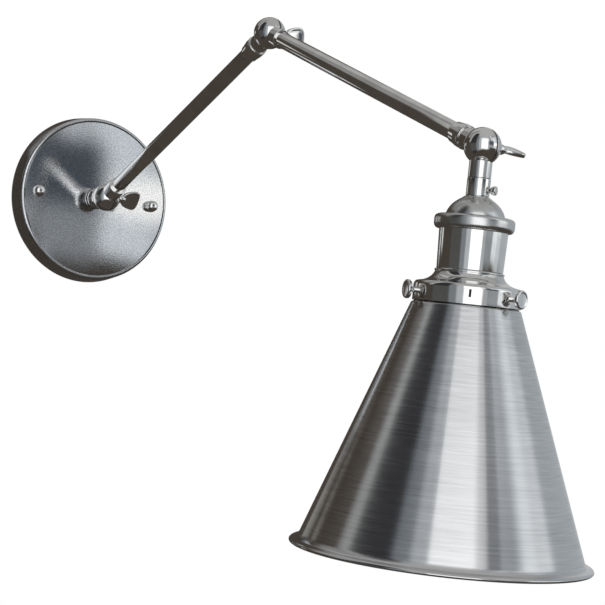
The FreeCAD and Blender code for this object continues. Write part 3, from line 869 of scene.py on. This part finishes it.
# %% Thumb screws
def thumb_screw(name, centre, turn, body, node):
    """A thumb screw through a knuckle, turned about the hinge axis."""
    hub = turned([(0.0, -6.0, 0.0), (1.95, -6.0, 0.3), (1.95, HUB, 0.0), (3.0, HUB, 0.3),
                  (3.0, HUB + 2.2, 0.6), (2.0, HUB + 4.4, 0.5), (0.0, HUB + 4.8, 0.0)], steps=40)
    quarter_turned(hub, "Y")
    place = Matrix.Translation(centre) @ Matrix.Rotation(math.radians(turn), 4, "X")
    return piece(name, joined(hub, paddle()), place, body, "polished_nickel", node)


thumb_screw("wall_wing_screw", WALL_JOINT, 35.0, "wall_screw", "wall_thumb_screw")
thumb_screw("elbow_wing_screw", ELBOW, 0.0, "elbow_screw", "elbow_thumb_screw")
thumb_screw("head_wing_screw", HEAD_JOINT, 112.0, "head_screw", "head_thumb_screw")


# %% [markdown]
# ## The lamp's neck and cap
# The sleeve turns on the knuckle's neck and is locked by a small screw.  Below it a domed cap, a
# thick rounded ring and a straight polished shell make the outside of the lampholder.  All of
# them are turned about the lamp's own axis.

# %% Sleeve, cap, ring and shell
AT_LAMP = on_axis(HEAD_JOINT, LAMP_DOWN)


def on_lamp(name, corners, slot, node, steps=128, crease=34.0):
    """A hollow piece turned about the lamp's axis, riding with the lamp."""
    return piece(name, turned(corners, closed=True, steps=steps), AT_LAMP, "lamp_head", slot,
                 node, crease=crease)


on_lamp("neck_sleeve", [
    (4.55, 17.9, 0.1), (6.5, 17.9, 0.2), (6.5, 27.2, 0.3), (6.3, 27.9, 0.1), (4.55, 27.9, 0.0)],
    "polished_nickel", "swivel_sleeve", steps=72)
on_lamp("domed_cap", [
    (4.1, 27.9, 0.0), (7.0, 27.9, 0.3), (7.9, 28.7, 0.6), (11.4, 30.9, 2.2), (14.9, 34.4, 2.6),
    (16.5, 38.7, 1.4), (16.5, 40.4, 0.0), (19.15, 40.5, 0.0), (19.15, 41.7, 0.0),
    (15.3, 41.7, 0.0), (14.9, 38.2, 1.2), (13.3, 34.9, 2.0), (10.0, 31.9, 2.0), (7.0, 29.6, 0.3),
    (4.1, 29.6, 0.0)], "brushed_nickel", "socket_cap")
on_lamp("clamp_ring", [
    (16.95, 38.7, 0.1), (20.6, 38.6, 1.4), (22.2, 40.2, 1.1), (22.2, 45.0, 1.1),
    (20.8, 46.7, 0.9), (19.35, 46.7, 0.1), (19.35, 40.45, 0.0), (16.95, 40.35, 0.0)],
    "brushed_nickel", "socket_clamp_ring")
on_lamp("socket_shell_plated", [
    (18.2, 41.8, 0.0), (19.15, 41.8, 0.1), (18.3, 68.5, 0.15), (17.35, 68.5, 0.0)],
    "polished_nickel", "socket_shell")


# %% [markdown]
# ## Neck screw
# The screw that locks the lamp's swivel stands out sideways from the sleeve.  It has a small
# round head with a turned groove behind it.

# %% Neck screw
def radial_matrix(angle, z):
    """Matrix that points Z away from the lamp's axis at an angle and height."""
    turn = math.radians(angle)
    outward = Vector((math.sin(turn), math.cos(turn), 0.0))
    sideways = Vector((0.0, 0.0, 1.0)).cross(outward)
    local = Matrix((sideways, outward.cross(sideways), outward)).transposed().to_4x4()
    return AT_LAMP @ Matrix.Translation((0.0, 0.0, z * MM)) @ local


neck_head = turned([
    (0.0, 4.8, 0.0), (1.45, 4.8, 0.2), (1.45, 7.9, 0.0), (2.1, 7.9, 0.15), (2.1, 8.5, 0.1),
    (1.8, 8.7, 0.05), (2.5, 9.0, 0.2), (2.5, 10.7, 0.5), (0.0, 11.0, 0.0)], steps=32)
piece("neck_lock_screw_head", neck_head, radial_matrix(30.0, 24.0), "neck_lock_screw",
      "polished_nickel", "neck_screw")


# %% [markdown]
# ## The gallery
# The gallery is the flared skirt that holds the shade: a beaded top against the shell, a hollow
# flare, a rounded shoulder and a straight band.  Three narrow slots pierce the band.  The band is
# turned with enough steps that one face is as wide as a slot, so a slot is that face taken out of
# both walls and the two holes bridged.

# %% Gallery
SHADE_SCREW_ANGLES = (15.0, 135.0, -105.0)
VENT_FROM_SCREW = 50.6
VENT_LOW, VENT_HIGH = 79.3, 83.3
GALLERY_STEPS = 144


def cut_vent(bm, angle):
    """Take one face out of both walls of the band and bridge the two holes."""
    step = 2 * math.pi / GALLERY_STEPS
    middle = (math.floor(math.radians(90.0 - angle) / step) + 0.5) * step
    walls = []
    for wall in bm.faces:
        centre = wall.calc_center_median()
        turn = math.atan2(centre.y, centre.x)
        off = (turn - middle + math.pi) % (2 * math.pi) - math.pi
        if abs(off) < step / 4 and VENT_LOW * MM < centre.z < VENT_HIGH * MM:
            walls.append(wall)
    rims = [edge for wall in walls for edge in wall.edges]
    bmesh.ops.delete(bm, geom=walls, context="FACES_ONLY")
    bmesh.ops.bridge_loops(bm, edges=[e for e in rims if e.is_valid and e.is_boundary])


def gallery_mesh():
    bm = turned([
        (17.1, 68.7, 0.1), (18.9, 68.7, 0.3), (19.4, 69.4, 0.4), (18.85, 70.2, 0.3),
        (19.9, 72.5, 1.4), (23.4, 75.2, 1.8), (27.2, 76.0, 1.0), (28.7, 76.3, 0.7),
        (29.8, 77.9, 0.9), (29.8, 79.2, 0.0), (29.8, 83.4, 0.0), (29.8, 87.2, 0.2),
        (28.95, 87.2, 0.1), (28.95, 83.4, 0.0), (28.95, 79.2, 0.0), (28.95, 78.2, 0.6),
        (27.6, 77.2, 0.8), (22.6, 76.4, 1.4), (19.0, 73.4, 1.2), (17.9, 69.8, 0.2),
        (17.1, 69.8, 0.0)], closed=True, steps=GALLERY_STEPS)
    for angle in SHADE_SCREW_ANGLES:
        cut_vent(bm, angle - VENT_FROM_SCREW)
    bmesh.ops.recalc_face_normals(bm, faces=bm.faces[:])
    return bm


piece("gallery_plated", gallery_mesh(), AT_LAMP, "lamp_head", "polished_nickel", "shade_gallery")


# %% [markdown]
# ## The shade
# The shade is a cone spun from one sheet.  Its outline is drawn as a closed wall: straight neck,
# long cone, flared lip and a rolled bead, and back up the inside.  It is turned in many fine
# steps, because a polished cone shows every flat.

# %% Shade
shade = turned([
    (27.7, 79.2, 0.1), (28.5, 79.2, 0.1), (28.5, 87.3, 0.5), (30.2, 88.4, 0.4),
    (78.1, 220.0, 0.7), (79.6, 221.9, 0.9), (82.1, 222.7, 0.4), (83.1, 223.2, 0.55),
    (83.5, 224.1, 0.55), (82.9, 225.1, 0.55), (81.8, 225.1, 0.5), (81.3, 224.2, 0.4),
    (79.2, 222.6, 0.8), (77.2, 220.2, 0.7), (29.4, 88.9, 0.4), (27.7, 87.8, 0.4)],
    closed=True, steps=192)
piece("cone_shade", shade, AT_LAMP, "lamp_head", "shade_nickel", "shade", crease=40.0)


# %% [markdown]
# ## Shade screws
# Three screws with flat round heads grip the shade's neck.  A head is a thin disc, a little
# hollow in front, with a rounded edge.

# %% Shade screws
SCREW_HEIGHT = 82.0
for number, angle in enumerate(SHADE_SCREW_ANGLES, start=1):
    head = turned([
        (0.0, 28.9, 0.0), (1.55, 28.9, 0.2), (1.55, 33.3, 0.0), (2.5, 33.5, 0.2),
        (2.5, 34.3, 0.1), (5.1, 34.4, 0.3), (5.2, 36.3, 0.5), (4.4, 36.8, 0.3), (3.6, 36.5, 0.2),
        (0.0, 36.3, 0.0)], steps=48)
    piece("shade_grip_screw_%d" % number, head, radial_matrix(angle, SCREW_HEIGHT),
          "shade_screw_%d" % number, "polished_nickel", "shade_screw_%d" % number)


# %% [markdown]
# ## The lamp socket inside
# From below one sees the brass screw shell in its porcelain body.  Its rolled thread is turned as
# a row of rounded rings, which is how it looks at this size.

# %% Screw shell
SHELL_R, CREST_R, ROOT_R = 14.05, 13.95, 13.4
THREAD_TOP, THREAD_PITCH, THREAD_TURNS = 81.6, 3.6, 6
thread = [(SHELL_R, 58.1, 0.0), (SHELL_R, 83.0, 0.1), (ROOT_R, 83.0, 0.1)]
for turn_number in range(THREAD_TURNS):
    crest = THREAD_TOP - THREAD_PITCH * turn_number
    thread += [(CREST_R, crest, 0.5), (ROOT_R, crest - THREAD_PITCH / 2, 0.5)]
thread += [(ROOT_R, 61.0, 0.2), (11.4, 58.7, 0.2), (4.3, 58.7, 0.0), (4.3, 58.1, 0.0)]
on_lamp("threaded_shell", thread, "brass", "screw_shell", crease=50.0)


# %% [markdown]
# ## The studio
# A polished lamp shows the room more than itself.  The room here is one soft tall window behind
# the camera, pale wall on the right, dim dark wall on the left, a light ceiling and a dark
# ground.  It is drawn in the world's nodes from compass angle and height, in degrees.

# %% World axes
DEGREES = 180 / math.pi
world = bpy.data.worlds.new("studio")
bpy.context.scene.world = world
world.use_nodes = True
room = Board(world.node_tree)
for old in list(world.node_tree.nodes):
    world.node_tree.nodes.remove(old)
gaze = room.add("ShaderNodeTexCoord").outputs["Generated"]
looking = room.add("ShaderNodeSeparateXYZ")
room.join(gaze, looking.inputs[0])
compass = room.math("MULTIPLY", room.math("ARCTAN2", looking.outputs[0],
                                          room.math("MULTIPLY", looking.outputs[1], -1.0)),
                    DEGREES)
height = room.math("MULTIPLY", room.math("ARCSINE", looking.outputs[2]), DEGREES)
print("world axes ready:", len(world.node_tree.nodes), "nodes")


# %% [markdown]
# ## A soft-edged panel
# Two smooth steps, one up and one down, make a soft band in compass angle.  Two more make one in
# height, and the bands multiplied are a panel.  Each panel is laid over what is under it, as
# paint is.

# %% Panel helpers
def soft_step(value, edge, softness, rising=True):
    """0 to 1 across an edge, in degrees."""
    node = room.add("ShaderNodeMapRange", interpolation_type="SMOOTHSTEP")
    node.inputs["From Min"].default_value = edge - softness
    node.inputs["From Max"].default_value = edge + softness
    node.inputs["To Min"].default_value = 0.0 if rising else 1.0
    node.inputs["To Max"].default_value = 1.0 if rising else 0.0
    room.join(value, node.inputs["Value"])
    return node.outputs["Result"]


def panel(under, first, last, low, high, colour, softness, rise):
    """Lay a soft-edged panel of a colour over what is under it."""
    mask = room.math("MULTIPLY", soft_step(compass, first, softness),
                     soft_step(compass, last, softness, False))
    mask = room.math("MULTIPLY", mask, room.math(
        "MULTIPLY", soft_step(height, low, rise), soft_step(height, high, rise, False)))
    mix = room.add("ShaderNodeMix", data_type="RGBA")
    room.join(mask, mix.inputs["Factor"])
    room.join(under, mix.inputs["A"])
    mix.inputs["B"].default_value = (*colour, 1.0)
    return mix.outputs["Result"]


print("panels can be laid")


# %% [markdown]
# ## The panels of the room
# Each row is one panel: its first and last compass angle, its low and high edge, its colour and
# how soft its edges are.  Angle 0 points straight out from the wall and the angles grow towards
# +X, so the window, from -47 to -6, stands behind the camera.  Later rows lie over earlier ones.

# %% Panels
GROUND_TONE = (0.066, 0.056, 0.047, 1.0)
CEILING_TONE = (0.44, 0.44, 0.44, 1.0)
CEILING_EDGE, CEILING_SOFT = 40.0, 12.0
ceiling = room.add("ShaderNodeMix", data_type="RGBA")
ceiling.inputs["A"].default_value = GROUND_TONE
ceiling.inputs["B"].default_value = CEILING_TONE
room.join(soft_step(height, CEILING_EDGE, CEILING_SOFT), ceiling.inputs["Factor"])
light = ceiling.outputs["Result"]
PANELS = (
    # first, last, low, high, colour, side softness, height softness
    (62, 124, -10, 42, (0.42, 0.45, 0.48), 5, 8),
    (122, 139, -3, 42, (0.52, 0.53, 0.54), 4, 3),
    (47, 66, -10, 42, (0.62, 0.66, 0.70), 5, 3),
    (27, 49, -9, 40, (0.82, 0.87, 0.91), 4, 2.5),
    (-181, -172, 5, 12, (0.36, 0.36, 0.34), 2, 2),
    (-165, -157, 4, 12, (0.75, 0.75, 0.73), 1.5, 2),
    (172, 181, 5, 12, (0.36, 0.36, 0.34), 2, 2),
    (-165, -135, 32, 80, (0.27, 0.27, 0.27), 4, 3),
    (-130, -117, 16, 62, (0.40, 0.41, 0.41), 2, 5),
    (-117, -76, -45, 66, (0.034, 0.034, 0.037), 3, 6),
    (-117, -76, -30, 10, (0.085, 0.085, 0.085), 3, 3),
    (-78, -60, -35, 50, (0.21, 0.23, 0.25), 3, 6),
    (-62, -46, -30, 44, (0.48, 0.51, 0.54), 3, 6),
    (-47, -6, -24, 40, (1.34, 1.36, 1.39), 2, 8),
    (-7, 5, -24, 22, (0.43, 0.45, 0.47), 2, 6),
    (-8, 3, 20, 40, (0.86, 0.88, 0.90), 2, 5),
    (4, 28, -12, 8, (0.31, 0.33, 0.35), 3, 4),
    (5, 12, 18, 50, (0.30, 0.31, 0.33), 2, 4),
    (14, 28, 22, 50, (0.62, 0.65, 0.68), 2, 4),
    (0, 31, 4, 24, (0.085, 0.10, 0.12), 5, 4),
    (33, 62, 3, 14, (1.38, 1.37, 1.34), 4, 3),
)
for row in PANELS:
    light = panel(light, *row)
print("panels:", len(PANELS))


# %% [markdown]
# ## What each kind of ray sees
# Reflections see the panels.  The camera sees a plain white surround, and the parts that are not
# metal are lit by the same even white, so that the panels only shape the metal.

# %% World output
surroundings = room.add("ShaderNodeBackground")
room.join(light, surroundings.inputs["Color"])
plain_white = room.add("ShaderNodeBackground")
plain_white.inputs["Color"].default_value = (1.0, 1.0, 1.0, 1.0)
seen = room.add("ShaderNodeLightPath")
either = room.add("ShaderNodeMixShader")
plainly = room.math("MAXIMUM", seen.outputs["Is Camera Ray"], seen.outputs["Is Diffuse Ray"])
room.join(plainly, either.inputs["Fac"])
room.join(surroundings.outputs[0], either.inputs[1])
room.join(plain_white.outputs[0], either.inputs[2])
sky = room.add("ShaderNodeOutputWorld")
room.join(either.outputs[0], sky.inputs["Surface"])
print("world nodes:", len(world.node_tree.nodes))


# %% [markdown]
# ## Floor
# A pale round floor lies well below the lamp.  It is kept out of the metal's reflections, which
# show the room instead.

# %% Floor
FLOOR_R = 1.5
FLOOR_MIDDLE_Y = -0.27
FLOOR_BELOW = 0.32
floor_material, floor_board, floor_shader = new_material("pale_floor")
floor_noise = floor_board.add("ShaderNodeTexNoise")
floor_noise.inputs["Scale"].default_value = 3.0
floor_board.join(floor_board.add("ShaderNodeTexCoord").outputs["Object"],
                 floor_noise.inputs["Vector"])
floor_board.join(tone_between(floor_board, floor_noise.outputs["Fac"], (0.88, 0.88, 0.88),
                              (0.93, 0.93, 0.93)), floor_shader.inputs["Base Color"])
floor_shader.inputs["Roughness"].default_value = 0.9
ground = bmesh.new()
bmesh.ops.create_circle(ground, cap_ends=True, segments=128, radius=FLOOR_R)
bmesh.ops.translate(ground, verts=ground.verts[:],
                    vec=(0.0, FLOOR_MIDDLE_Y, CAD_BOX[0].z - FLOOR_BELOW))
floor_mesh = bpy.data.meshes.new("pale_floor")
ground.to_mesh(floor_mesh)
ground.free()
floor = bpy.data.objects.new("pale_floor", floor_mesh)
floor_mesh.materials.append(floor_material)
bpy.context.scene.collection.objects.link(floor)
floor.visible_glossy = False
print("floor:", 2 * FLOOR_R, "m across")
